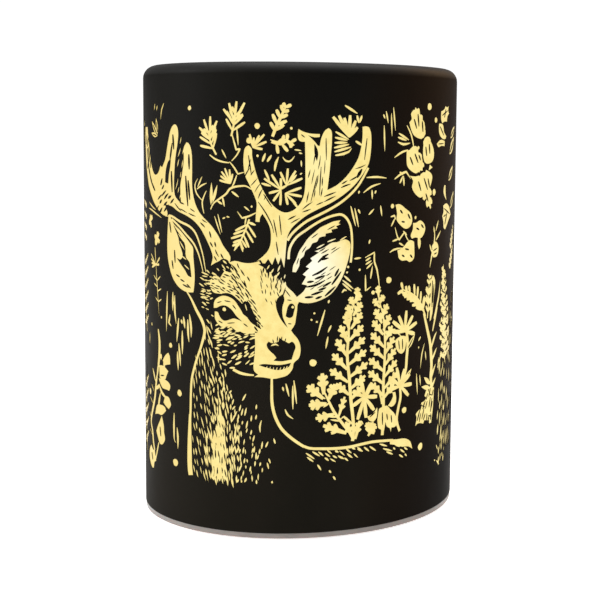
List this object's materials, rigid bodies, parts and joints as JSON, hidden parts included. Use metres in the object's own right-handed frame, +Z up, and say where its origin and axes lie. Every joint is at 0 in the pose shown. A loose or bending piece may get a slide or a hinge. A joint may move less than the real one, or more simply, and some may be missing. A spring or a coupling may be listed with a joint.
{
  "type": "television lamp",
  "caption": "Oval table lamp: a matt black coated glass shade with an etched woodland drawing stands over a shallow plinth that carries a screw-in bulb.",
  "frame": {"origin": "centre of the oval, on the surface that the feet stand on", "axes": "+Z up; X across the front, which is the long way of the oval; the decorated front faces -Y and the cable inlet +Y"},
  "size_m": [0.159, 0.135, 0.22],
  "materials": {
    "lit_glass": "opal glass, lit warm from inside",
    "black_coat": "matt black enamel with an etched-through drawing",
    "plinth_plastic": "translucent, slightly pink grey",
    "dark_plastic": "fine-grained moulding",
    "foot_rubber": "soft rubber",
    "grommet_rubber": "moulded rubber",
    "zinc_steel": "zinc plated",
    "block_plastic": "natural nylon",
    "contact_brass": "drawn brass",
    "brown_insulation": "wire insulation",
    "blue_insulation": "wire insulation",
    "pillar_plastic": "fine-grained moulding",
    "holder_plastic": "white thermoset moulding",
    "holder_ceramic": "unglazed steatite",
    "solder": "solder",
    "nickel": "nickel plated",
    "vitrite": "black glass insulator",
    "clear_glass": "clear",
    "filament": "glowing phosphor filament",
    "board": "circuit board"
  },
  "bodies": {
    "base": {"plinth": "plinth_plastic", "bottom_cover": "dark_plastic", "cover_screws": "zinc_steel", "foot_front_left": "foot_rubber", "foot_front_right": "foot_rubber", "foot_rear_left": "foot_rubber", "foot_rear_right": "foot_rubber", "cable_grommet": "grommet_rubber", "terminal_block": "block_plastic", "terminal_barrels": "contact_brass", "terminal_screws": "zinc_steel", "terminal_block_fixing": "zinc_steel", "live_lead": "brown_insulation", "neutral_lead": "blue_insulation", "threaded_tube": "zinc_steel", "tube_nuts": "zinc_steel", "lock_washer": "zinc_steel", "pillar": "pillar_plastic", "holder_cap": "holder_plastic", "holder_sleeve": "holder_plastic", "holder_core": "holder_ceramic", "holder_screw_shell": "contact_brass", "holder_centre_contact": "contact_brass", "holder_side_contact": "contact_brass", "holder_terminal_screws": "zinc_steel"},
    "shade": {"glass_shade": "lit_glass", "black_coating": "black_coat"},
    "contact": {"bulb_contact": "solder"},
    "bulb": {"bulb_cap": "nickel", "bulb_collar": "nickel", "bulb_insulator": "vitrite", "bulb_envelope": "clear_glass", "bulb_stem": "clear_glass", "bulb_filaments": "filament", "bulb_filament_wires": "nickel", "bulb_driver_board": "board"}
  },
  "joints": [
    {"name": "shade_lift", "type": "slide", "parent": "base", "child": "shade", "axis": [0, 0, 1], "range_m": [0, 0.15]},
    {"name": "bulb_rise", "type": "slide", "parent": "base", "child": "contact", "axis": [0, 0, 1], "range_m": [0, 0.01411]},
    {"name": "bulb_turn", "type": "hinge", "parent": "contact", "child": "bulb", "pos_m": [0, 0, 0.08], "axis": [0, 0, 1], "range_deg": [0, 1800]}
  ],
  "couplings": [
    {"joint": "bulb_rise", "follows": "bulb_turn", "m_per_rad": 0.00044909}
  ]
}
